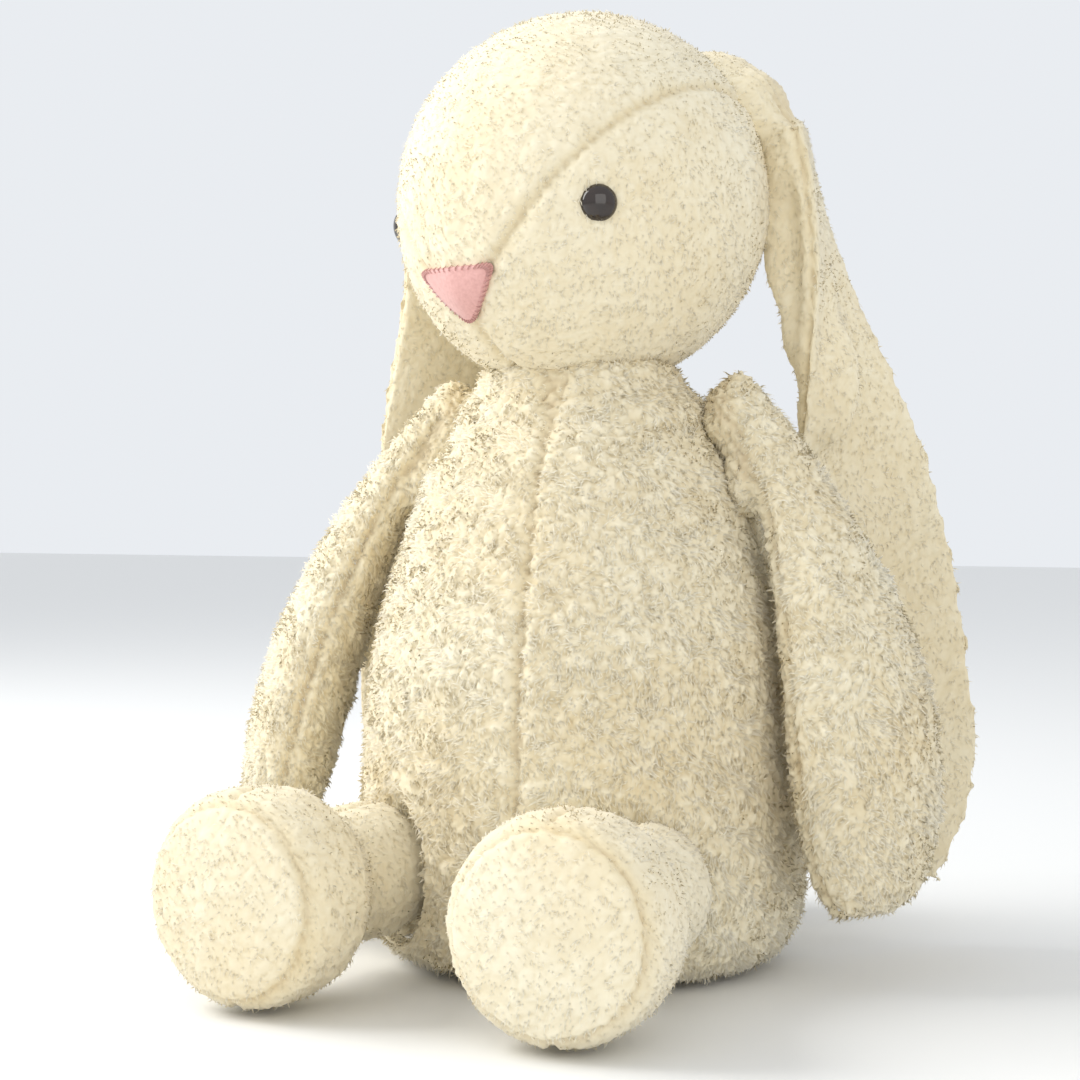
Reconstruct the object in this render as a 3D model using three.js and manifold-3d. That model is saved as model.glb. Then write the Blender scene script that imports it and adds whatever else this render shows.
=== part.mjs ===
// A seated plush bunny with long lop ears, taken apart the way it is sewn: panels of pile
// fabric around loose stuffing, a pellet bag in the seat, safety eyes with washers, a nose
// patch and a pompom tail. Millimetres, +Z up, the bunny looks along -Y and its left is +X.
// The origin is the middle of the flat seat. The limbs, ears and head turn as rigid pieces.
import * as THREE from "three";
import { mergeVertices } from "three/addons/utils/BufferGeometryUtils.js";
import Module from "manifold-3d";

const wasm = await Module();
wasm.setup();

// ---- Driving dimensions ----
const gap = 0.3; // between neighbouring pieces that touch
const swing = 2.5; // between pieces that move past each other
const pile = 6; // pile fabric, backing and fur together

const bodyHeight = 252;
const bodyRadius = 104; // at the widest, low on the belly
const bodyDepthShare = 0.96; // front-to-back depth over width
const bodyTurn = 9; // degrees, front seam towards the bunny's left
const seatRadius = 76; // flat disc that the toy sits on
const seatEdgeShare = 0.92; // of the body's radius, at the seam round the seat

const headRadius = 86;
const headLift = 87; // head centre above the neck pivot
const neckRise = 4; // neck pivot above the body's top
const headTurn = -17; // degrees, towards the bunny's right
const headNod = 9; // degrees, nose down
const muzzleBulge = 7;
const muzzleDrop = 30; // degrees below the head's own equator
const muzzleSpread = 38; // degrees out to where the bulge has faded

const eyeDiameter = 16;
const eyeSpread = 47; // degrees either side of the nose line
const eyeRise = -1.6; // degrees above the head's own equator
const eyeSink = 2.5;
const eyeDomeShare = 0.62; // height of the dome over its radius
const eyeRim = 1.2; // thickness of the eye's flat edge
const shankDiameter = 4.6;
const shankLength = 15;
const washerDiameter = 15;
const washerThickness = 2;
const washerSlack = 2.5; // between the washer and the inside of the fabric

const noseWidth = 50;
const noseHeight = 27;
const noseDrop = 22; // degrees below the head's own equator
const noseThickness = 1.4;
const noseCorner = 3; // rounding of the nose's corners
const noseTip = 5; // half width of its blunt lower end

// Where the seam over each eye runs on the head, as degrees to the side and up.
const seamAtNose = [17, -12];
const seamAtBrow = [43, 14];
const seamAtEar = [108, 30];

const earLength = 358;
const earRootWidth = 50;
const earWidth = 86;
const earTipStart = 0.8; // share of the length where the tip starts to round
const earBlunt = 0.99; // share of the length where the tip stops narrowing
const earPanel = 5.5; // thickness of one ear panel
const earFold = 9; // depth of the lengthwise crease
const earBelly = 6; // how far the hanging ear bulges outwards
const earGap = 0.4; // between the two panels of an ear
const earRootRise = 35; // above the head's centre

const armLength = 240;
const armRootRadius = 12;
const armWidth = 88;
const armThickness = 54;
const armBow = 19; // how far the hanging arm bulges round the belly
const armTwist = 34; // degrees, the outer side turned forwards
const shoulderInset = 57; // from the hanging arm's inner edge back over the body
const shoulderBack = 8;

const hipRadius = 32;
const hipOffset = 65; // either side of the middle
const hipInset = 20; // behind the front of the belly
const hipLift = 24; // degrees that a leg can rise
const legRadius = 30;
const footRadius = 47;
const footReach = 101; // hip to the middle of the sole
const footBand = 50; // depth of the foot behind the sole
const footTurnOut = 4; // degrees
const soleRadius = 42;
const soleCrown = 5;

const tailRadius = 28;
const tailHeight = 52;

const pelletBagRadius = 60;
const pelletBagHeight = 32;

const labelWidth = 22;
const labelLength = 34;
const labelThickness = 1;
const labelHeight = 10; // on the seam round the seat
const labelBearing = 125; // degrees round from the bunny's left, so behind on its right

const span = 1200; // larger than the whole toy, for the cutting boxes

// ---- Materials ----
const matte = (color, roughness) =>
  new THREE.MeshStandardMaterial({ color, roughness, metalness: 0 });
const fabric = (color) => matte(color, 0.95);
const creamPile = () => fabric(0xe6dcc0);
const whiteFill = () => fabric(0xf4f2ee);
const beanCloth = () => fabric(0xdedad2);
const pinkFelt = () => fabric(0xcf9c96);
const satinRibbon = () => fabric(0xf6f6f4);
const darkPlastic = () => matte(0x1c1512, 0.12);
const whitePlastic = () => matte(0xe9e9e6, 0.4);

// ---- Solids ----
const radians = THREE.MathUtils.degToRad;
const up = new THREE.Vector3(0, 0, 1);

/** A closed three.js geometry with only its shared corners left. */
function bare(geometry) {
  const positionOnly = geometry.clone();
  positionOnly.deleteAttribute("normal");
  positionOnly.deleteAttribute("uv");
  return mergeVertices(positionOnly, 1e-4);
}

/** A closed three.js geometry as a solid that can be cut and joined. */
function solid(geometry) {
  const merged = bare(geometry);
  return new wasm.Manifold(
    new wasm.Mesh({
      numProp: 3,
      vertProperties: merged.attributes.position.array,
      triVerts: new Uint32Array(merged.index.array),
    }),
  );
}

/** The same form with its surface moved inwards by depth, or outwards where depth is negative. */
function inset(geometry, depth) {
  const merged = bare(geometry);
  merged.computeVertexNormals();
  const { position, normal } = merged.attributes;
  for (let i = 0; i < position.count; i++) {
    position.setXYZ(
      i,
      position.getX(i) - depth * normal.getX(i),
      position.getY(i) - depth * normal.getY(i),
      position.getZ(i) - depth * normal.getZ(i),
    );
  }
  return merged;
}

/** A solid as a named mesh. */
function meshOf(name, made, material) {
  const { vertProperties, triVerts } = made.getMesh();
  const geometry = new THREE.BufferGeometry();
  geometry.setAttribute("position", new THREE.BufferAttribute(new Float32Array(vertProperties), 3));
  geometry.setIndex(new THREE.BufferAttribute(new Uint32Array(triVerts), 1));
  geometry.computeVertexNormals();
  const mesh = new THREE.Mesh(geometry, material);
  mesh.name = name;
  return mesh;
}

/** All of space on the far side of a seam plane, less half the seam's gap. */
function beyond(point, normal) {
  const direction = normal.clone().normalize();
  const box = new THREE.BoxGeometry(span, span, span);
  box.translate(0, 0, span / 2 + gap / 2);
  box.applyQuaternion(new THREE.Quaternion().setFromUnitVectors(up, direction));
  box.translate(point.x, point.y, point.z);
  return solid(box);
}

/** A cylinder along an axis, from a point onwards. */
function rod(radius, length, start, direction, sides = 24) {
  const cylinder = new THREE.CylinderGeometry(radius, radius, length, sides);
  cylinder.rotateX(Math.PI / 2);
  cylinder.translate(0, 0, length / 2);
  cylinder.applyQuaternion(new THREE.Quaternion().setFromUnitVectors(up, direction));
  cylinder.translate(start.x, start.y, start.z);
  return solid(cylinder);
}

/** A turned form about +Z through profile points of [radius, height], smooth between them. */
function turned(profile, sides, steps) {
  const outline = new THREE.SplineCurve(profile.map(([r, z]) => new THREE.Vector2(r, z)));
  const points = outline.getPoints(steps);
  points[0].x = 0;
  points[points.length - 1].x = 0;
  for (const point of points) point.y = Math.max(point.y, 0);
  const lathe = new THREE.LatheGeometry(points, sides);
  return lathe.rotateX(Math.PI / 2);
}

// ---- Head, in its own frame: centre at the origin, nose along -Y ----
const toDirection = (side, rise) =>
  new THREE.Vector3(
    Math.sin(radians(side)) * Math.cos(radians(rise)),
    -Math.cos(radians(side)) * Math.cos(radians(rise)),
    Math.sin(radians(rise)),
  );

/** Distance from the head's centre to its outer surface in a direction. */
function headReach(direction) {
  const awayFromMuzzle = direction.angleTo(toDirection(0, -muzzleDrop));
  return headRadius + muzzleBulge * Math.exp(-((awayFromMuzzle / radians(muzzleSpread)) ** 2));
}

function headForm(extra, sides, rings) {
  const sphere = new THREE.SphereGeometry(1, sides, rings).rotateX(Math.PI / 2);
  const position = sphere.attributes.position;
  const direction = new THREE.Vector3();
  for (let i = 0; i < position.count; i++) {
    direction.fromBufferAttribute(position, i).normalize();
    direction.multiplyScalar(headReach(direction.clone()) + extra);
    position.setXYZ(i, direction.x, direction.y, direction.z);
  }
  return sphere;
}

/** An eye's place: the point on the surface and the way out of it. */
const eyePlace = (side) => {
  const direction = toDirection(side * eyeSpread, eyeRise);
  return { direction, point: direction.clone().multiplyScalar(headReach(direction) - eyeSink) };
};

function eyeSolid({ direction, point }, room) {
  const radius = eyeDiameter / 2 + room;
  const shank = shankDiameter / 2 + room;
  const dome = [];
  for (let step = 0; step <= 4; step++) {
    const angle = ((Math.PI / 2) * step) / 4;
    dome.push(new THREE.Vector2(radius * Math.cos(angle), eyeDomeShare * radius * Math.sin(angle)));
  }
  dome[dome.length - 1].x = 0;
  const profile = [
    new THREE.Vector2(0, -shankLength - room),
    new THREE.Vector2(shank, -shankLength - room),
    new THREE.Vector2(shank, -eyeRim - room),
    new THREE.Vector2(radius, -eyeRim - room),
    ...dome,
  ];
  const lathe = new THREE.LatheGeometry(profile, 14).rotateX(Math.PI / 2);
  lathe.applyQuaternion(new THREE.Quaternion().setFromUnitVectors(up, direction));
  lathe.translate(point.x, point.y, point.z);
  return solid(lathe);
}

function washerSolid({ direction, point }, room) {
  const bore = shankDiameter / 2 + gap;
  const back = pile + washerThickness + washerSlack;
  const start = point.clone().addScaledVector(direction, eyeSink - back - room);
  const pocket = room > 0 ? pile : 0; // the pocket in the stuffing opens outwards
  const height = washerThickness + room + pocket;
  const disc = rod(washerDiameter / 2 + room, height, start, direction, 16);
  if (room > 0) return disc;
  const below = start.addScaledVector(direction, -washerThickness);
  return disc.subtract(rod(bore, 4 * washerThickness, below, direction, 10));
}

function nosePrism() {
  const half = noseWidth / 2;
  const top = noseHeight * 0.42;
  const low = -noseHeight * 0.53;
  const outline = new THREE.Shape();
  outline.moveTo(-half + noseCorner, top);
  outline.quadraticCurveTo(0, noseHeight * 0.52, half - noseCorner, top);
  outline.quadraticCurveTo(half + noseCorner / 3, top, half - noseCorner / 1.5, top / 2);
  outline.quadraticCurveTo(half * 0.55, low / 2, noseTip, low);
  outline.quadraticCurveTo(0, low - noseCorner / 1.5, -noseTip, low);
  outline.quadraticCurveTo(-half * 0.55, low / 2, -half + noseCorner / 1.5, top / 2);
  outline.quadraticCurveTo(-half - noseCorner / 3, top, -half + noseCorner, top);
  const extrusion = { depth: headRadius, bevelEnabled: false, curveSegments: 5 };
  const prism = new THREE.ExtrudeGeometry(outline, extrusion);
  prism.rotateX(Math.PI / 2);
  prism.translate(0, -headRadius * 0.5, 0);
  prism.rotateX(radians(noseDrop));
  return solid(prism);
}

/** The plane of the seam that climbs from the nose corner past the eye to the ear. */
function gussetSeam(side) {
  const [nose, brow, ear] = [seamAtNose, seamAtBrow, seamAtEar].map(([around, rise]) =>
    toDirection(side * around, rise).multiplyScalar(headRadius),
  );
  const normal = brow.clone().sub(nose).cross(ear.clone().sub(nose)).normalize();
  if (normal.z < 0) normal.negate();
  return { point: brow, normal };
}

function makeHead() {
  const outer = solid(headForm(0, 24, 16));
  const skin = outer.subtract(solid(headForm(-pile, 20, 14)));
  const seams = [-1, 1].map(gussetSeam);
  const eyes = [-1, 1].map(eyePlace);
  const sockets = eyes.map((place) => eyeSolid(place, gap));
  const middle = new THREE.Vector3();
  const below = seams.map(({ point, normal }) => beyond(point, normal.clone().negate()));
  const above = seams.map(({ point, normal }) => beyond(point, normal));
  const meshes = [];
  const sides = [[-1, "head_right_panel"], [1, "head_left_panel"]];
  sides.forEach(([side, name], k) => {
    const half = beyond(middle, new THREE.Vector3(side, 0, 0));
    const panel = skin.intersect(half).intersect(below[k]).subtract(sockets[k]);
    meshes.push(meshOf(name, panel, creamPile()));
  });
  meshes.push(meshOf("head_gusset", skin.intersect(above[0]).intersect(above[1]), creamPile()));
  let stuffing = solid(headForm(-pile - gap, 20, 14));
  eyes.forEach((place, k) => {
    stuffing = stuffing.subtract(sockets[k]).subtract(washerSolid(place, gap));
  });
  meshes.push(meshOf("head_stuffing", stuffing, whiteFill()));
  const patch = solid(headForm(gap + noseThickness, 24, 16)).subtract(solid(headForm(gap, 24, 16)));
  meshes.push(meshOf("nose_patch", patch.intersect(nosePrism()), pinkFelt()));
  eyes.forEach((place, k) => {
    const side = ["right", "left"][k];
    meshes.push(meshOf(side + "_eye", eyeSolid(place, 0), darkPlastic()));
    meshes.push(meshOf(side + "_eye_washer", washerSolid(place, 0), whitePlastic()));
  });
  return meshes;
}

// ---- Ears: hang from the origin along -Z, outer face towards +X, front edge towards -Y ----
/** Half the ear's width at a share of its length, rounded off towards the tip. */
function earHalfWidth(share) {
  const t = Math.min(share, earBlunt);
  const grown = THREE.MathUtils.smoothstep(t, 0.05, 0.75);
  const width = earRootWidth + (earWidth - earRootWidth) * grown;
  const intoTip = Math.max(0, t - earTipStart) / (1 - earTipStart);
  return (width * Math.sqrt(1 - intoTip ** 2)) / 2;
}

/** A layer of the ear between two distances from its folded middle, spread past its edges. */
function earLayer(low, high, spread, { sway, twist }) {
  const box = new THREE.BoxGeometry(1, 1, 1, 1, 6, 14);
  const position = box.attributes.position;
  for (let i = 0; i < position.count; i++) {
    const t = 0.5 - position.getZ(i) * spread;
    const inside = THREE.MathUtils.clamp(t, 0, 1);
    const across = position.getY(i) * 2 * spread;
    const lift = position.getX(i) > 0 ? high : low;
    const fold = earFold * THREE.MathUtils.smoothstep(t, 0, 0.5) * Math.cos(across * Math.PI / 2);
    const belly = earBelly * Math.sin(Math.PI * inside);
    const along = across * earHalfWidth(inside);
    const angle = radians(twist) * THREE.MathUtils.smoothstep(t, 0.06, 0.5);
    const x = lift - fold;
    position.setXYZ(
      i,
      x * Math.cos(angle) - along * Math.sin(angle) + belly,
      x * Math.sin(angle) + along * Math.cos(angle) + sway * Math.sin(Math.PI * inside),
      -earLength * t,
    );
  }
  return solid(box);
}

/** sway is how far the middle swings towards the rear edge, twist how far the tip turns. */
function makeEar(name, drape) {
  const whole = earLayer(-earPanel, earPanel, 1, drape);
  const underMiddle = earLayer(-4 * earPanel, earGap / 2, 1.2, drape);
  const underLining = earLayer(-4 * earPanel, -earGap / 2, 1.2, drape);
  return [
    meshOf(name + "_outer_panel", whole.subtract(underMiddle), creamPile()),
    meshOf(name + "_lining_panel", whole.intersect(underLining), creamPile()),
  ];
}

// ---- Arms: hang from the shoulder at the origin along -Z, outer side towards side * X ----
function armForm(side) {
  const sphere = new THREE.SphereGeometry(1, 14, 13).rotateX(Math.PI / 2);
  const position = sphere.attributes.position;
  const twist = new THREE.Quaternion().setFromAxisAngle(up, radians(-side * armTwist));
  const point = new THREE.Vector3();
  for (let i = 0; i < position.count; i++) {
    point.fromBufferAttribute(position, i);
    const t = (1 - point.z) / 2;
    const round = Math.hypot(point.x, point.y) || 1;
    const blunt = Math.sqrt(round) / round;
    const grown = THREE.MathUtils.smoothstep(t, -0.1, 0.85);
    const halfDepth = armRootRadius + (armThickness / 2 - armRootRadius) * grown;
    const halfWidth = armRootRadius + (armWidth / 2 - armRootRadius) * grown;
    point.set(point.x * blunt * halfDepth, point.y * blunt * halfWidth, 0).applyQuaternion(twist);
    point.x += side * armBow * Math.sin(Math.PI * t);
    point.z = armRootRadius - (armLength + armRootRadius) * t;
    position.setXYZ(i, point.x, point.y, point.z);
  }
  return sphere;
}

/** The surface halfway between an arm's outer and inner panels, as the solid on its outer side. */
function armOuterSide(side, toOuter) {
  const steps = 12;
  const box = new THREE.BoxGeometry(1, 1, 1, 1, 1, steps);
  const position = box.attributes.position;
  const twist = new THREE.Quaternion().setFromAxisAngle(up, radians(-side * armTwist));
  const point = new THREE.Vector3();
  const reach = armWidth;
  for (let i = 0; i < position.count; i++) {
    const t = 0.5 - position.getZ(i) * 1.2;
    const far = position.getX(i) * toOuter * side > 0 ? reach : gap / 2;
    point.set(toOuter * side * far, position.getY(i) * 2 * reach, 0).applyQuaternion(twist);
    point.x += side * armBow * Math.sin(Math.PI * THREE.MathUtils.clamp(t, 0, 1));
    point.z = armRootRadius - (armLength + armRootRadius) * t;
    position.setXYZ(i, point.x, point.y, point.z);
  }
  return solid(box);
}

function makeArm(name, side) {
  const form = armForm(side);
  const skin = solid(form).subtract(solid(inset(form, pile)));
  return [
    meshOf(name + "_outer_panel", skin.intersect(armOuterSide(side, 1)), creamPile()),
    meshOf(name + "_inner_panel", skin.intersect(armOuterSide(side, -1)), creamPile()),
    meshOf(name + "_stuffing", solid(inset(form, pile + gap)), whiteFill()),
  ];
}

// ---- Legs: hip at the origin, sole along -Y ----
function legForm(sides) {
  const profile = [];
  for (let step = 0; step <= 4; step++) {
    const angle = radians(22.5 * step);
    profile.push(new THREE.Vector2(hipRadius * Math.sin(angle), -hipRadius * Math.cos(angle)));
  }
  const rear = footReach - footBand;
  profile.push(new THREE.Vector2(legRadius, rear * 0.7));
  profile.push(new THREE.Vector2(footRadius * 0.84, rear));
  profile.push(new THREE.Vector2(footRadius * 0.97, rear + 9));
  profile.push(new THREE.Vector2(footRadius, rear + 20));
  profile.push(new THREE.Vector2(footRadius, footReach - 16));
  profile.push(new THREE.Vector2(footRadius * 0.97, footReach - 7));
  profile.push(new THREE.Vector2(soleRadius, footReach - 1));
  profile.push(new THREE.Vector2(soleRadius * 0.6, footReach + soleCrown * 0.6));
  profile.push(new THREE.Vector2(0, footReach + soleCrown));
  profile[0].x = 0;
  return new THREE.LatheGeometry(profile, sides).rotateX(Math.PI);
}

function makeLeg(name, side) {
  const form = legForm(16);
  const skin = solid(form).subtract(solid(inset(form, pile)));
  const toSole = new THREE.Vector3(0, -1, 0);
  const soleStart = new THREE.Vector3(0, -footReach + pile * 1.2, 0);
  const cut = rod(soleRadius, 3 * soleCrown + 2 * pile, soleStart, toSole, 18);
  const clear = rod(soleRadius + gap, 3 * soleCrown + 2 * pile, soleStart, toSole, 18);
  const upper = skin.subtract(clear);
  const seam = new THREE.Vector3();
  const outward = new THREE.Vector3(side, 0, 0);
  return [
    meshOf(name + "_outer_panel", upper.intersect(beyond(seam, outward)), creamPile()),
    meshOf(name + "_inner_panel", upper.intersect(beyond(seam, outward.clone().negate())), creamPile()),
    meshOf(name + "_sole", skin.intersect(cut), creamPile()),
    meshOf(name + "_stuffing", solid(inset(form, pile + gap)), whiteFill()),
  ];
}

// ---- Body ----
function bodyForm(sides, steps) {
  const lathe = turned(
    [
      [0, 0],
      [seatRadius * 0.5, 0],
      [seatRadius, 0],
      [bodyRadius * seatEdgeShare, labelHeight],
      [bodyRadius * 0.99, 34],
      [bodyRadius, 76],
      [bodyRadius * 0.96, bodyHeight * 0.54],
      [bodyRadius * 0.84, bodyHeight * 0.72],
      [bodyRadius * 0.69, bodyHeight * 0.89],
      [bodyRadius * 0.53, bodyHeight * 0.965],
      [bodyRadius * 0.3, bodyHeight * 0.992],
      [0, bodyHeight],
    ],
    sides,
    steps,
  );
  lathe.scale(1, bodyDepthShare, 1);
  return lathe;
}

function pelletProfile(room) {
  const r = pelletBagRadius + room;
  const h = pelletBagHeight + room;
  return new THREE.LatheGeometry(
    [
      new THREE.Vector2(0, -room * 40),
      new THREE.Vector2(r * 0.85, -room * 40),
      new THREE.Vector2(r, h * 0.35),
      new THREE.Vector2(r * 0.9, h * 0.75),
      new THREE.Vector2(r * 0.5, h * 0.97),
      new THREE.Vector2(0, h),
    ],
    24,
  ).rotateX(Math.PI / 2);
}

/** The room that a leg needs in the body: its ball at the hip, and its way up. */
function hipRoom(hip, side) {
  const ball = new THREE.SphereGeometry(hipRadius + swing, 14, 10);
  let room = solid(ball.translate(hip.x, hip.y, hip.z));
  const raises = 2;
  for (let raise = 1; raise <= raises; raise++) {
    const leg = legForm(10);
    leg.scale(1 + swing / legRadius, 1 + swing / legRadius, 1 + swing / legRadius);
    leg.rotateX(radians((-hipLift * raise) / raises));
    leg.rotateZ(radians(side * footTurnOut));
    leg.translate(hip.x, hip.y, hip.z);
    room = room.add(solid(leg));
  }
  return room;
}

function makeBody(hips) {
  const lining = bodyForm(22, 13);
  const sockets = hips.map((hip) => hipRoom(hip, Math.sign(hip.x)));
  let skin = solid(bodyForm(28, 18)).subtract(solid(inset(lining, pile)));
  let stuffing = solid(inset(lining, pile + gap));
  for (const socket of sockets) {
    skin = skin.subtract(socket);
    stuffing = stuffing.subtract(socket);
  }
  const under = new THREE.Vector3(0, 0, -pile);
  const seatDisc = rod(seatRadius - 2, 2.5 * pile, under, up, 28);
  const seatHole = rod(seatRadius - 2 + gap, 2.5 * pile, under, up, 28);
  const wall = skin.subtract(seatHole);
  const turn = new THREE.Quaternion().setFromAxisAngle(up, radians(bodyTurn));
  const left = new THREE.Vector3(1, 0, 0).applyQuaternion(turn);
  const front = new THREE.Vector3(0, -1, 0).applyQuaternion(turn);
  const middle = new THREE.Vector3();
  const meshes = [];
  for (const [ahead, place] of [[1, "front"], [-1, "back"]]) {
    const half = wall.intersect(beyond(middle, front.clone().multiplyScalar(ahead)));
    for (const [side, name] of [[1, "left"], [-1, "right"]]) {
      const quarter = half.intersect(beyond(middle, left.clone().multiplyScalar(side)));
      meshes.push(meshOf(`body_${place}_${name}_panel`, quarter, creamPile()));
    }
  }
  meshes.push(meshOf("seat_panel", skin.intersect(seatDisc), creamPile()));
  const bagFloor = pile + gap;
  const pocket = pelletProfile(gap).translate(0, 0, bagFloor);
  stuffing = stuffing.subtract(solid(pocket));
  meshes.push(meshOf("body_stuffing", stuffing, whiteFill()));
  const bag = pelletProfile(0).translate(0, 0, bagFloor);
  meshes.push(meshOf("pellet_bag", solid(bag), beanCloth()));
  return meshes;
}

// ---- Small sewn-on pieces ----
function makeTail() {
  const ball = new THREE.SphereGeometry(tailRadius, 14, 10);
  const back = bodyRadius * bodyDepthShare + tailRadius + gap;
  ball.translate(0, back, tailHeight);
  return meshOf("tail_pompom", solid(ball), creamPile());
}

function makeLabel() {
  const label = new THREE.BoxGeometry(labelLength, labelWidth, labelThickness);
  label.translate(bodyRadius * seatEdgeShare + labelLength / 2 + gap, 0, labelHeight);
  label.rotateZ(radians(labelBearing));
  label.scale(1, bodyDepthShare, 1);
  return meshOf("care_label", solid(label), satinRibbon());
}

// ---- Assembly ----
const toy = new THREE.Group();

const head = new THREE.Group();
const headHeight = bodyHeight + neckRise + headLift;
head.position.set(0, 0, headHeight);
head.rotation.set(radians(headNod), 0, radians(headTurn), "ZXY");
head.add(...makeHead());
toy.add(head);

const hipForward = bodyRadius * bodyDepthShare - hipInset;
const hips = [-1, 1].map((side) => new THREE.Vector3(side * hipOffset, -hipForward, footRadius));
toy.add(...makeBody(hips), makeTail(), makeLabel());

/** Puts a hanging limb's meshes at a joint, leaned outwards and backwards, then turned about Z. */
function hang(meshes, place, lean, back, turn) {
  const group = new THREE.Group();
  group.position.set(...place);
  group.rotation.set(radians(back), radians(-lean), radians(turn), "XYZ");
  group.add(...meshes);
  toy.add(group);
}

const armHang = (armWidth / 2) * Math.sin(radians(armTwist));
const shoulderOut = bodyRadius + armHang - shoulderInset;
const shoulderHeight = bodyHeight + armRootRadius / 2;
const leftShoulder = [shoulderOut, shoulderBack, shoulderHeight];
const rightShoulder = [-shoulderOut, shoulderBack, shoulderHeight];
hang(makeArm("left_arm", 1), leftShoulder, 17, -4, 0);
hang(makeArm("right_arm", -1), rightShoulder, -21, -8, 0);

const earRootHeight = headHeight + earRootRise;
const leftEarRoot = [headRadius + 2, 36, earRootHeight];
const rightEarRoot = [-headRadius - 3, 44, earRootHeight];

/** Degrees that an ear leans outwards so that it passes the belly with this much room. */
const earLean = (room) =>
  THREE.MathUtils.radToDeg(Math.atan2(bodyRadius - headRadius + room, earRootHeight - bodyHeight / 2));
hang(makeEar("left_ear", { sway: 14, twist: -60 }), leftEarRoot, earLean(8.5), 9, 18);
hang(makeEar("right_ear", { sway: 4, twist: -6 }), rightEarRoot, -earLean(1.8), 5, 140);

for (const [k, name] of [[0, "right_leg"], [1, "left_leg"]]) {
  const side = 2 * k - 1;
  const group = new THREE.Group();
  group.position.copy(hips[k]);
  group.rotation.z = radians(side * footTurnOut);
  group.add(...makeLeg(name, side));
  toy.add(group);
}

export default toy;
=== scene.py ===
"""A seated plush bunny: its pile skins, nose, eyes, tail and label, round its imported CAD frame.

No cloth or hair is simulated. Each skin is made from its own CAD panels, sunk along the seams,
worked into tufts and grown with fine locks, all as one mesh.
"""

import math

import bmesh
import bpy
import numpy as np
from mathutils import Matrix, Vector
from mathutils.bvhtree import BVHTree
from mathutils.kdtree import KDTree


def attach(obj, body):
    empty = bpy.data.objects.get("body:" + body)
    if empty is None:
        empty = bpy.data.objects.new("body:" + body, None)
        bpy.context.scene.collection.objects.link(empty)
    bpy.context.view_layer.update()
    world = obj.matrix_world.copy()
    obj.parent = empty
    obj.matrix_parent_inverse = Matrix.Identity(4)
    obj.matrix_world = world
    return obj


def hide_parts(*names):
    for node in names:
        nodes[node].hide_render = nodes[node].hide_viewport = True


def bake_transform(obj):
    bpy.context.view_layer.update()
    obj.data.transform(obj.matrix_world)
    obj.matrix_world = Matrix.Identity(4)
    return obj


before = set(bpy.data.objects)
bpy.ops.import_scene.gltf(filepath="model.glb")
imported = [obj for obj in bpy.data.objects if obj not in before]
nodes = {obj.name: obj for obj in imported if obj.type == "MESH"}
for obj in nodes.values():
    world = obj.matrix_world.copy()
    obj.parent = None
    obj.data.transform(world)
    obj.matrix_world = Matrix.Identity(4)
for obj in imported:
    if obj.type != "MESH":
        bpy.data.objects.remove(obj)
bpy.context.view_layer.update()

MM = 0.001

# ---- Camera, at the angle that the toy is seen from ----
CAMERA_AZIMUTH = 27.5
CAMERA_ELEVATION = 1.0
CAMERA_DISTANCE = 1.0
CAMERA_LENS = 73.3
CAMERA_AIM_SIDE = -20 * MM
CAMERA_AIM_HEIGHT = 190 * MM


def add_camera():
    azimuth = math.radians(CAMERA_AZIMUTH)
    elevation = math.radians(CAMERA_ELEVATION)
    side = Vector((math.cos(azimuth), math.sin(azimuth), 0))
    away = Vector((
        math.sin(azimuth) * math.cos(elevation),
        -math.cos(azimuth) * math.cos(elevation),
        math.sin(elevation),
    ))
    target = side * CAMERA_AIM_SIDE + Vector((0, 0, CAMERA_AIM_HEIGHT))
    data = bpy.data.cameras.new("camera")
    data.lens = CAMERA_LENS
    data.clip_start = 0.05
    camera = bpy.data.objects.new("camera", data)
    camera.location = target + away * CAMERA_DISTANCE
    camera.rotation_euler = away.to_track_quat("Z", "Y").to_euler()
    bpy.context.collection.objects.link(camera)
    bpy.context.scene.camera = camera


add_camera()


# ---- Materials ----
def new_material(name):
    material = bpy.data.materials.new(name)
    material.use_nodes = True
    tree = material.node_tree
    return material, tree, tree.nodes["Principled BSDF"]


def add_node(tree, kind, **settings):
    node = tree.nodes.new(kind)
    for key, value in settings.items():
        if key in node.inputs:
            node.inputs[key].default_value = value
        else:
            setattr(node, key, value)
    return node


def noise_node(tree, scale, detail=3.0):
    place = add_node(tree, "ShaderNodeTexCoord")
    noise = add_node(tree, "ShaderNodeTexNoise", Scale=scale, Detail=detail)
    tree.links.new(place.outputs["Object"], noise.inputs["Vector"])
    return noise


def colour_ramp(tree, source, stops):
    ramp = add_node(tree, "ShaderNodeValToRGB")
    elements = ramp.color_ramp.elements
    while len(elements) < len(stops):
        elements.new(0.5)
    for element, (place, colour) in zip(elements, stops):
        element.position = place
        element.color = (*colour, 1)
    tree.links.new(source, ramp.inputs["Fac"])
    return ramp


def mixed(tree, blend, share, first, second):
    """The colour output of a mix of two colours."""
    mix = tree.nodes.new("ShaderNodeMix")
    mix.data_type = "RGBA"
    mix.blend_type = blend
    colours = [socket for socket in mix.inputs if socket.type == "RGBA"]
    mix.inputs[0].default_value = share
    tree.links.new(first, colours[0])
    tree.links.new(second, colours[1])
    return next(socket for socket in mix.outputs if socket.type == "RGBA")


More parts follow.
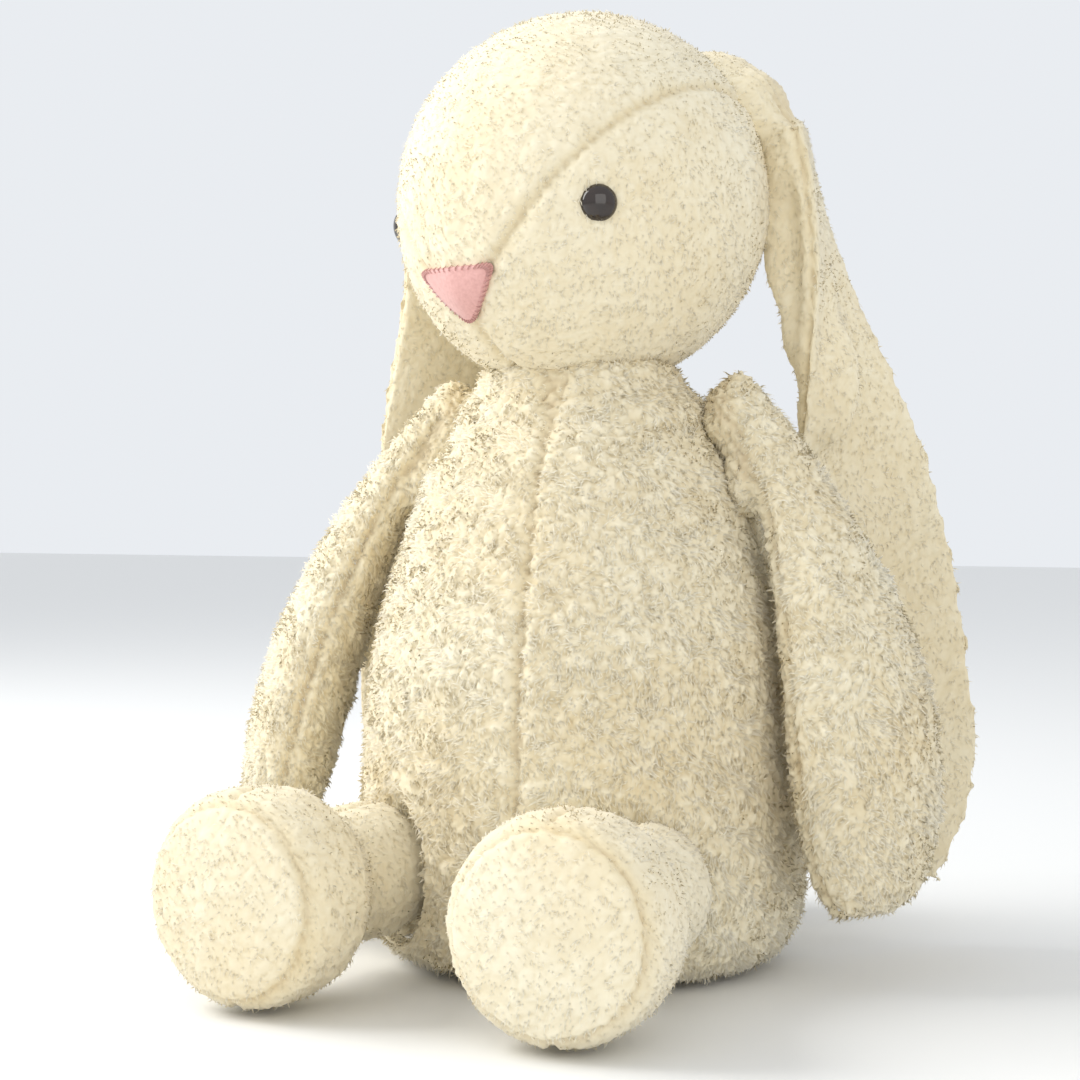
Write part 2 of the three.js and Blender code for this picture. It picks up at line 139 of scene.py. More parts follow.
def let_light_through(tree, shader, colour, share):
    """Lights thin pile from behind as well as from in front."""
    through = tree.nodes.new("ShaderNodeBsdfTranslucent")
    tree.links.new(colour, through.inputs["Color"])
    both = tree.nodes.new("ShaderNodeMixShader")
    both.inputs["Fac"].default_value = share
    output = next(node for node in tree.nodes if node.type == "OUTPUT_MATERIAL")
    tree.links.new(shader.outputs["BSDF"], both.inputs[1])
    tree.links.new(through.outputs["BSDF"], both.inputs[2])
    tree.links.new(both.outputs["Shader"], output.inputs["Surface"])


# Painted shade: the root colour is the dark warm shade deep in the pile, in the creases between
# tufts and in the seams.
PLUSH_ROOT_PAINTED_SHADE = (0.50, 0.37, 0.20)
PLUSH_MIDDLE = (0.78, 0.68, 0.46)
PLUSH_TIP = (0.88, 0.81, 0.62)
PLUSH_LOOSE = (0.98, 0.94, 0.82)
PLUSH_PALE = (0.92, 0.89, 0.76)
PLUSH_WARM = (0.76, 0.62, 0.38)
LOCK_DULLEST = (0.86, 0.84, 0.80)
LOCK_BRIGHTEST = (1.0, 1.0, 1.0)
PATCH_SCALE = 14.0  # broad uneven patches of tone
PATCH_SHARE = 0.22
SINGLE_LOCK_SHARE = 0.8
LOOSE_PILE_GLOW = 0.18  # share of the light that comes through a lock


def plush_material(name, root, middle, tip, through):
    """Pile fabric: painted shade makes it warm and dark in the depth of the pile; paler at the tips,
    uneven from lock to lock.
    """
    material, tree, shader = new_material(name)
    lock = add_node(tree, "ShaderNodeAttribute", attribute_name="lock")
    split = add_node(tree, "ShaderNodeSeparateColor")
    tree.links.new(lock.outputs["Color"], split.inputs["Color"])
    # Painted shade: red runs from 0 in the shaded depth of the pile, its creases and seams, to 1 at
    # the pale tips.
    along = colour_ramp(
        tree,
        split.outputs["Red"],
        [(0.0, root), (0.4, middle), (0.95, tip)],
    )
    patches = noise_node(tree, PATCH_SCALE)
    tone = colour_ramp(tree, patches.outputs["Fac"], [(0.35, PLUSH_WARM), (0.65, PLUSH_PALE)])
    spread = mixed(tree, "MIX", PATCH_SHARE, along.outputs["Color"], tone.outputs["Color"])
    single = colour_ramp(
        tree,
        split.outputs["Green"],
        [(0.0, LOCK_DULLEST), (1.0, LOCK_BRIGHTEST)],
    )
    shade = mixed(tree, "MULTIPLY", SINGLE_LOCK_SHARE, spread, single.outputs["Color"])
    tree.links.new(shade, shader.inputs["Base Color"])
    if through > 0:
        let_light_through(tree, shader, shade, through)
    shader.inputs["Roughness"].default_value = 0.85
    shader.inputs["Specular IOR Level"].default_value = 0.15
    shader.inputs["Sheen Weight"].default_value = 0.35
    shader.inputs["Sheen Roughness"].default_value = 0.6
    shader.inputs["Sheen Tint"].default_value = (1.0, 0.95, 0.85, 1)
    return material


def woven_material(name, base, dark, scale, roughness, sheen=0.2):
    """A plain woven or felted cloth."""
    material, tree, shader = new_material(name)
    noise = noise_node(tree, scale, 6.0)
    ramp = colour_ramp(tree, noise.outputs["Fac"], [(0.3, dark), (0.7, base)])
    tree.links.new(ramp.outputs["Color"], shader.inputs["Base Color"])
    bump = add_node(tree, "ShaderNodeBump", Strength=0.3, Distance=0.0004)
    tree.links.new(noise.outputs["Fac"], bump.inputs["Height"])
    tree.links.new(bump.outputs["Normal"], shader.inputs["Normal"])
    shader.inputs["Roughness"].default_value = roughness
    shader.inputs["Sheen Weight"].default_value = sheen
    return material


def plastic_material(name, base, edge, roughness):
    """Moulded plastic with the faint unevenness of its surface."""
    material, tree, shader = new_material(name)
    noise = noise_node(tree, 220.0, 2.0)
    ramp = colour_ramp(tree, noise.outputs["Fac"], [(0.3, base), (0.7, edge)])
    tree.links.new(ramp.outputs["Color"], shader.inputs["Base Color"])
    shader.inputs["Roughness"].default_value = roughness
    shader.inputs["Coat Weight"].default_value = 0.4 if roughness < 0.2 else 0.0
    return material


# Both pile materials run from painted shade at the roots to paler tips.
plush = plush_material("plush", PLUSH_ROOT_PAINTED_SHADE, PLUSH_MIDDLE, PLUSH_TIP, 0.0)
loose_pile = plush_material("loose_pile", PLUSH_MIDDLE, PLUSH_TIP, PLUSH_LOOSE, LOOSE_PILE_GLOW)
fibre_fill = woven_material("fibre_fill", (0.93, 0.92, 0.90), (0.80, 0.79, 0.76), 180.0, 0.95)
bean_cloth = woven_material("bean_cloth", (0.84, 0.82, 0.78), (0.70, 0.68, 0.62), 900.0, 0.9)
nose_felt = woven_material("nose_felt", (0.72, 0.40, 0.37), (0.62, 0.32, 0.29), 700.0, 0.75, 0.5)
thread = woven_material("thread", (0.58, 0.30, 0.27), (0.45, 0.22, 0.20), 1500.0, 0.7)
label_satin = woven_material("label_satin", (0.93, 0.93, 0.92), (0.86, 0.86, 0.85), 1200.0, 0.45)
eye_plastic = plastic_material("eye_plastic", (0.018, 0.011, 0.008), (0.028, 0.017, 0.012), 0.08)
washer_plastic = plastic_material("washer_plastic", (0.86, 0.86, 0.85), (0.80, 0.80, 0.79), 0.4)


# ---- Mesh helpers ----
def node_mesh(names):
    """One bmesh holding these CAD nodes."""
    joined = bmesh.new()
    for name in names:
        copy = nodes[name].data.copy()
        copy.transform(nodes[name].matrix_world)
        joined.from_mesh(copy)
        bpy.data.meshes.remove(copy)
    bmesh.ops.remove_doubles(joined, verts=joined.verts, dist=1e-6)
    return joined


def new_object(name, mesh, *materials):
    piece = bpy.data.objects.new(name, mesh)
    bpy.context.collection.objects.link(piece)
    for material in materials:
        mesh.materials.append(material)
    return piece


def object_from_bmesh(name, mesh, material):
    made = bpy.data.meshes.new(name)
    mesh.to_mesh(made)
    mesh.free()
    return new_object(name, made, material)


def node_corners(name):
    """The world places of a CAD node's corners."""
    cad = nodes[name]
    return np.array([list(cad.matrix_world @ vertex.co) for vertex in cad.data.vertices])


def applied(piece):
    """The piece with its modifiers made real."""
    graph = bpy.context.evaluated_depsgraph_get()
    done = bpy.data.meshes.new_from_object(piece.evaluated_get(graph))
    piece.modifiers.clear()
    old = piece.data
    piece.data = done
    bpy.data.meshes.remove(old)
    return piece


def remeshed(name, source, voxel, smoothing):
    """A closed smooth skin over everything in a bmesh."""
    mesh = bpy.data.meshes.new(name)
    source.to_mesh(mesh)
    source.free()
    piece = new_object(name, mesh)
    remesh = piece.modifiers.new("remesh", "REMESH")
    remesh.mode = "VOXEL"
    remesh.voxel_size = voxel
    smooth = piece.modifiers.new("smooth", "SMOOTH")
    smooth.iterations = smoothing
    smooth.factor = 0.5
    return applied(piece)


def surface_of(name):
    """A search tree over the surface of a CAD node."""
    mesh = node_mesh([name])
    tree = BVHTree.FromBMesh(mesh)
    mesh.free()
    return tree


def coordinates(mesh):
    flat = np.empty(len(mesh.vertices) * 3)
    mesh.vertices.foreach_get("co", flat)
    return flat.reshape(-1, 3)


def vertex_normals(mesh):
    flat = np.empty(len(mesh.vertices) * 3)
    mesh.vertices.foreach_get("normal", flat)
    return flat.reshape(-1, 3)


FAR_FROM_SEAMS = 1.0


def unit(vectors):
    return vectors / np.maximum(np.linalg.norm(vectors, axis=-1, keepdims=True), 1e-9)


def seam_distances(points, panels):
    """How much further off the second nearest panel is than the nearest: nothing on a seam."""
    if len(panels) < 2:
        return np.full(len(points), FAR_FROM_SEAMS)
    trees = [surface_of(panel) for panel in panels]
    found = np.array([[tree.find_nearest(Vector(p))[3] for tree in trees] for p in points])
    found.sort(axis=1)
    return found[:, 1] - found[:, 0]


# ---- Pile ----
SEAM_REACH = 2.6 * MM
SEAM_DEPTH = 2.4 * MM
ROOT_DEPTH = 0.8 * MM
PUCKER_PITCH = 9.0 * MM
SKIN_VOXEL = 3.0 * MM
SKIN_INSET = 1.0 * MM
LOCK_STEPS = (0.0, 0.55, 1.0)
LOCK_BARE = 0.3 * MM  # no lock grows closer to a seam than this
# Painted shade: the pile is coloured darker in the seams, where shade falls.
SEAM_PAINTED_SHADE = 0.6  # how much darker the pile is in a seam
PUCKER_SHARE = 0.3  # how much the seam's depth varies along it
SMOOTHING = 8
TUFT_FLANK = 0.75  # a tuft is full height where its neighbour is this much further, in sizes
TUFT_WARP = 0.35  # how far the tufts' grid is pulled about, over a tuft's size
TUFT_WARP_SIZE = 2.2
TUFT_WARP_SEED = 5
FINE_TUFT_SIZE = 0.5  # of a tuft's size
FINE_TUFT_SHARE = 0.4  # of the tufts' height
WORKED_NORMAL_SHARE = 0.75  # of the tufted surface's normals, the rest from the smooth skin
WAVE_COUNT = 7
WAVE_SPREAD = (0.5, 1.3)  # of the waves' pitch, over their size
WAVE_STRENGTH = 2.6  # brings the sum of the waves back to about 1
DROOP = np.array([0.0, 0.0, -0.8])  # pile lies downwards
TOUSLE = 0.5  # how much single locks go their own way
LENGTH_SPREAD = (0.6, 1.2)
RISE_SPREAD = (0.5, 1.5)
LOCK_LIE = 0.8  # reach of a lock's tip along the skin, over its length
LOCK_BEND = (0.9, 0.25)  # the bend's height and reach, over the tip's rise and the length
LOCK_NORMAL_LEAN = 0.2  # how far a lock's normal leans the way it lies
LOCK_STUB = 0.4  # length of the pile at a seam, over its full length
# Painted shade: the locks' colour steps are low at the root, where the pile is shaded, and a share
# of their colour value comes from the skin's painted shade.
LOCK_COLOUR_STEPS = (0.2, 0.2, 0.6, 0.6, 1.0)  # root to tip, for each corner of a lock
SKIN_SHARE_OF_TONE = 0.6


def triangles_of(mesh):
    mesh.calc_loop_triangles()
    flat = np.empty(len(mesh.loop_triangles) * 3, dtype=np.int64)
    mesh.loop_triangles.foreach_get("vertices", flat)
    return flat.reshape(-1, 3)


def triangle_areas(points, triangles):
    a, b, c = (points[triangles[:, k]] for k in range(3))
    return np.linalg.norm(np.cross(b - a, c - a), axis=1) / 2


def scattered(points, triangles, count, chance):
    """Random places on a mesh, as triangle numbers and corner weights."""
    areas = triangle_areas(points, triangles)
    picked = chance.choice(len(triangles), size=count, p=areas / areas.sum())
    u, v = chance.random(count), chance.random(count)
    over = u + v > 1
    u[over], v[over] = 1 - u[over], 1 - v[over]
    return picked, np.stack([1 - u - v, u, v], axis=1)


def on_mesh(values, triangles, picked, weights):
    return np.einsum("ij,ij...->i...", weights, values[triangles[picked]])


def waves(points, size, chance):
    """A smooth random vector field over space, with swirls of about the given size."""
    field = np.zeros_like(points)
    for _ in range(WAVE_COUNT):
        direction = unit(chance.normal(size=3)) * (2 * math.pi / size) * chance.uniform(*WAVE_SPREAD)
        amount = chance.normal(size=3)
        field += np.sin(points @ direction + chance.uniform(0, 2 * math.pi))[:, None] * amount
    return field / WAVE_STRENGTH


def tree_of(centres):
    tree = KDTree(len(centres))
    for number, centre in enumerate(centres):
        tree.insert(centre, number)
    tree.balance()
    return tree


def tufts(points, triangles, size, chance):
    """The height of tufted pile from 0 in the creases between tufts to 1 on top of them."""
    steady = np.random.default_rng(TUFT_WARP_SEED)
    warp = waves(points, TUFT_WARP_SIZE * size, steady) * size * TUFT_WARP
    count = int(triangle_areas(points, triangles).sum() / size ** 2)
    picked, weights = scattered(points, triangles, count, chance)
    tree = tree_of(on_mesh(points + warp, triangles, picked, weights))
    height = np.empty(len(points))
    for number, point in enumerate(points + warp):
        near, far = (found[2] for found in tree.find_n(point, 2))
        height[number] = (far - near) / size
    height = np.clip(height / TUFT_FLANK, 0, 1)
    return 1 - (1 - height) ** 2


def locks(points, normals, triangles, seam, painted_skin_shade, style, chance):
    """Vertices, faces, normals and colours of the fine locks that stand out of the pile."""
    count = int(triangle_areas(points, triangles).sum() / style["spacing"] ** 2)
    picked, weights = scattered(points, triangles, count, chance)
    near_seam = on_mesh(seam, triangles, picked, weights)
    grows = near_seam > LOCK_BARE
    picked, weights, near_seam = picked[grows], weights[grows], near_seam[grows]
    count = len(picked)
    root = on_mesh(points, triangles, picked, weights)
    up = unit(on_mesh(normals, triangles, picked, weights))
    shade = on_mesh(painted_skin_shade, triangles, picked, weights)

    flow = DROOP + style["curl"] * waves(root, style["swirl"], chance)
    flow += TOUSLE * chance.normal(size=root.shape)
    lean = unit(flow - up * np.sum(flow * up, axis=1, keepdims=True))
    length = style["length"] * chance.uniform(*LENGTH_SPREAD, count)
    length *= LOCK_STUB + (1 - LOCK_STUB) * np.clip(near_seam / (2 * SEAM_REACH), 0, 1)
    rise = (style["rise"] * chance.uniform(*RISE_SPREAD, count))[:, None]
    reach = length[:, None]
    bend_rise, bend_reach = LOCK_BEND
    tip = root + up * reach * rise + lean * reach * LOCK_LIE
    bend = root + up * reach * rise * bend_rise + lean * reach * bend_reach
    root = root - up * ROOT_DEPTH
    across = unit(np.cross(tip - root, up)) * (style["width"] / 2)

    columns = []
    for step in LOCK_STEPS:
        middle = root * (1 - step) ** 2 + bend * 2 * step * (1 - step) + tip * step ** 2
        narrow = across * (1 - step ** 2)
        columns += [middle] if step == 1.0 else [middle - narrow, middle + narrow]
    rows = len(columns)
    vertices = np.stack(columns, 1).reshape(-1, 3)
    facing = np.repeat(unit(up + LOCK_NORMAL_LEAN * lean), rows, axis=0)
    # Painted shade: a lock is coloured darker at its root and takes a share of the painted shade of
    # the skin it grows from.
    along = np.tile(np.array(LOCK_COLOUR_STEPS), count)
    from_skin = np.repeat(shade, rows) * SKIN_SHARE_OF_TONE
    tone = np.clip(from_skin + (1 - SKIN_SHARE_OF_TONE) * along, 0, 1)
    colours = np.stack([tone, np.repeat(chance.random(count), rows), along], 1)
    start = np.arange(count)[:, None] * rows
    quads = start + np.array([[0, 1, 3, 2]])
    ends = start + np.array([[2, 3, 4]])
    return vertices, quads, ends, facing, colours


def mesh_of(name, points, faces):
    made = bpy.data.meshes.new(name)
    made.from_pydata(points.tolist(), [], faces)
    made.polygons.foreach_set("use_smooth", np.ones(len(faces), dtype=bool))
    return made


def furred(piece, panels, style, seed):
    """Sinks a skin's seams, works tufts into it, grows locks on it and joins all into one mesh."""
    chance = np.random.default_rng(seed)
    mesh = piece.data
    points = coordinates(mesh)
    normals = vertex_normals(mesh)
    seam = seam_distances(points, panels)
    triangles = triangles_of(mesh)
    height = (1 - FINE_TUFT_SHARE) * tufts(points, triangles, style["tuft"], chance)
    height += FINE_TUFT_SHARE * tufts(points, triangles, style["tuft"] * FINE_TUFT_SIZE, chance)
    ditch = np.exp(-((seam / SEAM_REACH) ** 2))
    pucker = 1 + PUCKER_SHARE * np.sin(points.sum(axis=1) * (2 * math.pi / PUCKER_PITCH))
    sink = SKIN_INSET + SEAM_DEPTH * ditch * pucker + style["depth"] * (1 - height)
    points = points - normals * sink[:, None]
    faces = [list(face.vertices) for face in mesh.polygons]
    worked = mesh_of("worked", points, faces)
    share = WORKED_NORMAL_SHARE
    skin_normals = unit(share * vertex_normals(worked) + (1 - share) * normals)
    bpy.data.meshes.remove(worked)
    # Painted shade: the skin's colour value is lowered in the creases between tufts and along the
    # seams.
    tone = (1 - style["contrast"] * (1 - height)) * (1 - SEAM_PAINTED_SHADE * ditch)
    vertices, quads, ends, facing, shades = locks(
        points, normals, triangles, seam, tone, style, chance
    )
    skin_count = len(points)
    faces += (quads + skin_count).tolist()
    faces += (ends + skin_count).tolist()
    made = mesh_of(piece.name, np.concatenate([points, vertices]), faces)
    colours = np.ones((skin_count + len(vertices), 4), dtype=np.float32)
    colours[:skin_count, 0] = tone
    colours[:skin_count, 1:3] = 0.5
    colours[skin_count:, :3] = shades
    lock = made.attributes.new("lock", "FLOAT_COLOR", "POINT")
    lock.data.foreach_set("color", colours.ravel())
    made.normals_split_custom_set_from_vertices(np.concatenate([skin_normals, facing]).tolist())
    made.materials.append(plush)
    made.materials.append(loose_pile)
    loose = np.arange(len(faces)) >= len(faces) - len(quads) - len(ends)
    made.polygons.foreach_set("material_index", loose.astype(np.int32))
    piece.data = made
    bpy.data.meshes.remove(mesh)
    return piece


# In each style, one value sets how much painted shade darkens the creases between tufts.
CURLY = dict(
    tuft=6.5 * MM, depth=2.6 * MM, spacing=1.9 * MM, length=4.6 * MM, width=0.9 * MM,
    rise=0.4, swirl=24 * MM, curl=1.0, contrast=0.75,
)
SMOOTH = dict(CURLY, tuft=6.0 * MM, depth=1.0 * MM, length=3.8 * MM, rise=0.3, curl=0.5)
SMOOTH.update(contrast=0.5, spacing=2.5 * MM, width=0.7 * MM)


# ---- Skins ----
def add_blob(mesh, centre, radii, turn):
    """Adds an ellipsoid to a bmesh, turned about Z, to be joined with the rest by the remesh."""
    made = bmesh.ops.create_uvsphere(mesh, u_segments=20, v_segments=14, radius=1.0)
    place = (
        Matrix.Translation(Vector(centre) * MM)
        @ Matrix.Rotation(math.radians(turn), 4, "Z")
        @ Matrix.Diagonal(Vector(radii) * MM).to_4x4()
    )
    bmesh.ops.transform(mesh, matrix=place, verts=made["verts"])


# Ellipsoids that fill a skin out past the CAD form: centre and radii in mm, turn about Z.
# The four at the hips cover the room that the CAD body leaves for the legs to rise.
NECK_AND_HIPS = [
    ((0, 0, 244), (62, 54, 28), 0),
    ((0, -2, 262), (50, 46, 22), 0),
    ((48, -40, 76), (40, 40, 52), 0),
    ((-48, -40, 76), (40, 40, 52), 0),
    ((50, -43, 38), (36, 34, 30), 0),
    ((-50, -43, 38), (36, 34, 30), 0),
]
LEFT_EAR_ROOT = [
    ((47, 34, 379), (38, 28, 36), 27),
    ((66, 36, 384), (22, 24, 22), 27),
    ((82, 36, 364), (14, 20, 22), 27),
    ((80, 40, 350), (16, 13, 34), 27),
    ((83, 44, 322), (15, 9, 32), 27),
    ((90, 49, 292), (16, 8, 32), 27),
    ((98, 55, 262), (16, 7, 32), 27),
]
RIGHT_EAR_ROOT = [
    ((-54, 40, 379), (34, 28, 34), -27),
    ((-82, 44, 356), (15, 18, 34), -27),
]
ARM_TOPS = {
    "left": [((68, 5, 246), (14, 15, 18), 0), ((78, 4, 222), (12, 16, 26), 0)],
    "right": [((-68, 5, 246), (14, 15, 18), 0), ((-80, 4, 222), (12, 16, 26), 0)],
}

FORMS = {
    "head": dict(
        panels=["head_left_panel", "head_right_panel", "head_gusset"],
        inside=["head_stuffing", "left_eye_washer", "right_eye_washer"],
        style=SMOOTH, fill=0.95, blobs=[],
    ),
    "torso": dict(
        panels=[
            "body_front_left_panel", "body_front_right_panel",
            "body_back_left_panel", "body_back_right_panel", "seat_panel",
        ],
        inside=["body_stuffing", "pellet_bag"],
        style=CURLY, fill=0.9, blobs=NECK_AND_HIPS,
    ),
}
for side, ear_blobs in (("left", LEFT_EAR_ROOT), ("right", RIGHT_EAR_ROOT)):
    FORMS[side + "_arm"] = dict(
        panels=[f"{side}_arm_outer_panel", f"{side}_arm_inner_panel"],
        inside=[f"{side}_arm_stuffing"], style=CURLY, fill=0.7, blobs=ARM_TOPS[side],
    )
    FORMS[side + "_leg"] = dict(
        panels=[f"{side}_leg_outer_panel", f"{side}_leg_inner_panel", f"{side}_leg_sole"],
        inside=[f"{side}_leg_stuffing"], style=SMOOTH, fill=0.85, blobs=[],
    )
    FORMS[side + "_ear"] = dict(
        panels=[f"{side}_ear_outer_panel", f"{side}_ear_lining_panel"],
        inside=[], style=SMOOTH, fill=0.15, blobs=ear_blobs,
    )


def skin_of(body, form):
    source = node_mesh(form["panels"] + form["inside"])
    for centre, radii, turn in form["blobs"]:
        add_blob(source, centre, radii, turn)
    piece = remeshed(body + "_plush", source, SKIN_VOXEL, SMOOTHING)
    finer = piece.modifiers.new("finer", "SUBSURF")
    finer.levels = 1
    return applied(piece)


skins = {}
smooth_skins = {}
for seed, (body, form) in enumerate(FORMS.items()):
    piece = skin_of(body, form)
    smooth_skins[body] = BVHTree.FromPolygons(
        [vertex.co.copy() for vertex in piece.data.vertices],
        [tuple(face.vertices) for face in piece.data.polygons],
    )
    furred(piece, form["panels"], form["style"], seed + 1)
    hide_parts(*form["panels"])
    skins[body] = piece

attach(skins["head"], "head")


# ---- Tail ----
TAIL_SEED = 31
TAIL_SMOOTHING = 6
TAIL = dict(CURLY, tuft=8 * MM, depth=3 * MM, length=6 * MM, rise=0.9, curl=1.5)


def add_tail():
    tail = remeshed("tail_plush", node_mesh(["tail_pompom"]), SKIN_VOXEL, TAIL_SMOOTHING)
    finer = tail.modifiers.new("finer", "SUBSURF")
    finer.levels = 1
    applied(tail)
    furred(tail, ["tail_pompom"], TAIL, TAIL_SEED)
    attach(tail, "torso")
    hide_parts("tail_pompom")


add_tail()


# ---- Face ----
HEAD_CENTRE = Vector((0, 0, 343)) * MM
HEAD_TURN = -17  # degrees about Z
HEAD_NOD = 9
NOSE_DROP = 22
HEAD_FRAME = (
    Matrix.Translation(HEAD_CENTRE)
    @ Matrix.Rotation(math.radians(HEAD_TURN), 4, "Z")
    @ Matrix.Rotation(math.radians(HEAD_NOD), 4, "X")
)
NOSE_SIZE = (50 * MM, 27 * MM)
NOSE_FRAME = HEAD_FRAME @ Matrix.Rotation(math.radians(NOSE_DROP), 4, "X")
NOSE_RISE = 1.3 * MM
NOSE_CROWN = 0.8  # how much higher its middle stands than its edge, over NOSE_RISE
NOSE_BULGE = 0.8 * MM
NOSE_ROUNDING = 0.2
NOSE_CORNERS = ((-0.47, 0.42), (0.47, 0.42), (0, -0.58))  # shares of its width and height
NOSE_MIDDLE = 0.06  # share of its height
NOSE_RINGS = 9
TURNED_EDGE = (1.03, -1.5 * MM)  # spread and depth of the edge that is turned under
STITCH_RADIUS = 0.32 * MM
# A stitch from outside the patch's edge, over it and back in: spread from the middle, height.
STITCH_PATH = (
    (1.06, -0.6 * MM),
    (1.02, NOSE_RISE * 1.25),
    (0.93, NOSE_RISE * 1.35),
    (0.89, NOSE_RISE * 0.8),
)
EYE_RADIUS = 8 * MM
EYE_THICKNESS = 0.7 * EYE_RADIUS  # half the dome's depth
EYE_SINK = 2.0 * MM
IN_FRONT = -0.3  # metres, well clear of the face


def on_head(x, z, out):
    """The point of the face in front of (x, z) of the nose's frame, and out from the fabric."""
    start = NOSE_FRAME @ Vector((x, IN_FRONT, z))
    towards = NOSE_FRAME.to_3x3() @ Vector((0, 1, 0))
    place, normal, _, _ = smooth_skins["head"].ray_cast(start, towards)
    return place + normal * (out - SKIN_INSET)


def nose_outline(turns):
    """A triangle with rounded corners and slightly bulging sides, point down."""
    width, height = NOSE_SIZE
    corners = [Vector((x * width, z * height)) for x, z in NOSE_CORNERS]
    outline = []
    for number, corner in enumerate(corners):
        before, after = corners[number - 1], corners[(number + 1) % 3]
        enter = corner.lerp(before, NOSE_ROUNDING)
        leave = corner.lerp(after, NOSE_ROUNDING)
        for step in range(turns):
            t = step / turns
            outline.append(enter.lerp(corner, t).lerp(corner.lerp(leave, t), t))
        for step in range(turns):
            t = step / turns
            side = leave.lerp(after.lerp(corner, NOSE_ROUNDING), t)
            bulge = math.sin(math.pi * t) * NOSE_BULGE
            outline.append(side + side.normalized() * bulge)
    return outline


def add_nose():
    outline = nose_outline(8)
    middle = Vector((0, NOSE_MIDDLE * NOSE_SIZE[1]))
    points = [on_head(*middle, NOSE_RISE * (1 + NOSE_CROWN))]
    for ring in range(1, NOSE_RINGS + 1):
        share = ring / NOSE_RINGS
        rise = NOSE_RISE * (1 + NOSE_CROWN - NOSE_CROWN * share ** 2)
        points += [on_head(*middle.lerp(corner, share), rise) for corner in outline]
    spread, depth = TURNED_EDGE
    points += [on_head(*corner * spread, depth) for corner in outline]
    count = len(outline)
    faces = [[0, 1 + k, 1 + (k + 1) % count] for k in range(count)]
    for ring in range(NOSE_RINGS):
        first, second = 1 + ring * count, 1 + (ring + 1) * count
        for k in range(count):
            after = (k + 1) % count
            faces.append([first + k, second + k, second + after, first + after])
    mesh = mesh_of("nose_felt_patch", np.array(points), faces)
    nose = new_object("nose_felt_patch", mesh, nose_felt)
    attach(nose, "head")
    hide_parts("nose_patch")
    stitches = add_stitches("nose_stitches", outline, thread)


def tube(mesh, points, radius, sides=6):
    """Adds a closed round thread through points to a bmesh."""
    rings = []
    for number, point in enumerate(points):
        ahead = points[min(number + 1, len(points) - 1)] - points[max(number - 1, 0)]
        turn = ahead.to_track_quat("Z", "Y").to_matrix()
        swell = 1.0 if 0 < number < len(points) - 1 else 0.5
        ring = [
            mesh.verts.new(point + turn @ Vector((math.cos(a), math.sin(a), 0)) * radius * swell)
            for a in (2 * math.pi * k / sides for k in range(sides))
        ]
        rings.append(ring)
    for first, second in zip(rings, rings[1:]):
        for k in range(sides):
            after = (k + 1) % sides
            mesh.faces.new([first[k], first[after], second[after], second[k]])
    mesh.faces.new(rings[0][::-1])
    mesh.faces.new(rings[-1])


def add_stitches(name, outline, material):
    """Small overcast stitches around a patch's edge."""
    mesh = bmesh.new()
    for corner in outline:
        path = [on_head(*corner * spread, height) for spread, height in STITCH_PATH]
        tube(mesh, path, STITCH_RADIUS)
    stitches = object_from_bmesh(name, mesh, material)
    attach(stitches, "head")
    return stitches


def add_eye(side):
    """A glossy domed safety eye, with its rim sunk in the pile."""
    corners = node_corners(side + "_eye")
    middle = Vector(corners.mean(axis=0))
    out = (middle - HEAD_CENTRE).normalized()
    front = max((Vector(corner) - HEAD_CENTRE).dot(out) for corner in corners)
    mesh = bmesh.new()
    bmesh.ops.create_uvsphere(mesh, u_segments=48, v_segments=32, radius=1.0)
    place = (
        Matrix.Translation(HEAD_CENTRE + out * (front - EYE_SINK - EYE_THICKNESS))
        @ out.to_track_quat("Z", "Y").to_matrix().to_4x4()
        @ Matrix.Diagonal((EYE_RADIUS, EYE_RADIUS, EYE_THICKNESS, 1))
    )
    bmesh.ops.transform(mesh, matrix=place, verts=mesh.verts)
    for face in mesh.faces:
        face.smooth = True
    eye = object_from_bmesh(side + "_eye_dome", mesh, eye_plastic)
    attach(eye, "head")
    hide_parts(side + "_eye")


add_nose()
add_eye("left")
add_eye("right")


# ---- Care label ----
LABEL_SIZE = (22 * MM, 34 * MM)
LABEL_THICKNESS = 0.25 * MM
LABEL_ARCH = 0.8 * MM
LABEL_DROP = 1.6 * MM
LABEL_CURL = 1.2 * MM


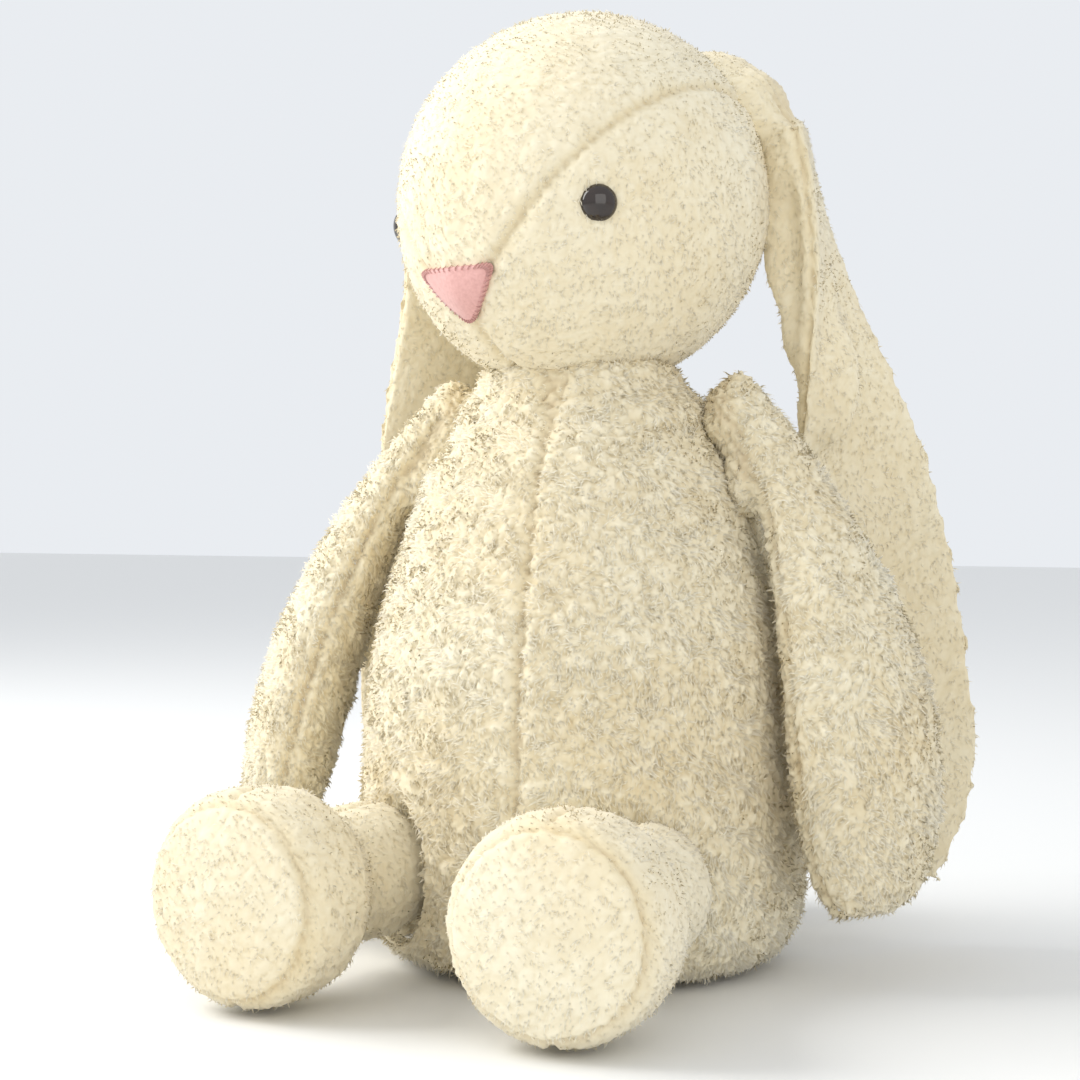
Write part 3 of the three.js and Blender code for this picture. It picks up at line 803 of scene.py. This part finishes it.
def add_label():
    """A strip of satin sewn into the seam round the seat, curling a little."""
    middle = Vector(node_corners("care_label").mean(axis=0))
    out = Vector((middle.x, middle.y, 0)).normalized()
    across = Vector((-out.y, out.x, 0))
    width, length = LABEL_SIZE
    columns, rows = 12, 20
    points = []
    for row in range(rows + 1):
        t = row / rows
        rise = LABEL_ARCH * math.sin(math.pi * t) - LABEL_DROP * t ** 2
        for column in range(columns + 1):
            u = column / columns - 0.5
            curl = LABEL_CURL * t * (u * 2) ** 2
            place = middle + out * (t - 0.5) * length + across * u * width
            points.append(place + Vector((0, 0, rise + curl)))
    faces = []
    for row in range(rows):
        for column in range(columns):
            first = row * (columns + 1) + column
            faces.append([first, first + 1, first + columns + 2, first + columns + 1])
    label = new_object("satin_label", mesh_of("satin_label", np.array(points), faces), label_satin)
    thick = label.modifiers.new("thick", "SOLIDIFY")
    thick.thickness = LABEL_THICKNESS
    applied(label)
    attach(label, "torso")
    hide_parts("care_label")


add_label()


# ---- Inner pieces keep their CAD meshes ----
INNER = {"stuffing": fibre_fill, "washer": washer_plastic, "pellet_bag": bean_cloth}
for name, node in nodes.items():
    for part, material in INNER.items():
        if part in name:
            node.data.materials.clear()
            node.data.materials.append(material)


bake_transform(skins["torso"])
for side in ("left", "right"):
    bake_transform(skins[side + "_arm"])
    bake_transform(skins[side + "_leg"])
    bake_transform(skins[side + "_ear"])


# ---- Floor, light and the end ----
FLOOR_SIZE = 12  # metres
FLOOR_COLOUR = (0.82, 0.82, 0.81, 1)
ROOM_COLOUR = (0.93, 0.96, 1.0, 1)
ROOM_STRENGTH = 0.88
WINDOW = dict(
    place=(-1.3, -0.5, 1.2), aim=(0, 0, 0.25), size=1.2, power=28, colour=(1.0, 0.99, 0.96)
)
FILL = dict(place=(1.2, -1.4, 0.6), aim=(0, 0, 0.2), size=1.5, power=9, colour=(1.0, 0.97, 0.92))


def add_floor():
    bpy.ops.mesh.primitive_plane_add(size=FLOOR_SIZE, location=(0, 0, 0))
    floor = bpy.context.object
    floor.name = "floor"
    material, _, shader = new_material("floor")
    shader.inputs["Base Color"].default_value = FLOOR_COLOUR
    shader.inputs["Roughness"].default_value = 0.8
    floor.data.materials.append(material)


def add_area(name, place, aim, size, power, colour):
    data = bpy.data.lights.new(name, "AREA")
    data.size = size
    data.energy = power
    data.color = colour
    lamp = bpy.data.objects.new(name, data)
    lamp.location = place
    lamp.rotation_euler = (Vector(aim) - Vector(place)).to_track_quat("-Z", "Y").to_euler()
    bpy.context.collection.objects.link(lamp)


def add_light():
    world = bpy.data.worlds.new("studio")
    bpy.context.scene.world = world
    world.use_nodes = True
    background = world.node_tree.nodes["Background"]
    background.inputs["Color"].default_value = ROOM_COLOUR
    background.inputs["Strength"].default_value = ROOM_STRENGTH
    add_area("window", **WINDOW)
    add_area("fill", **FILL)


add_floor()
add_light()
bpy.context.scene.view_settings.view_transform = "Standard"
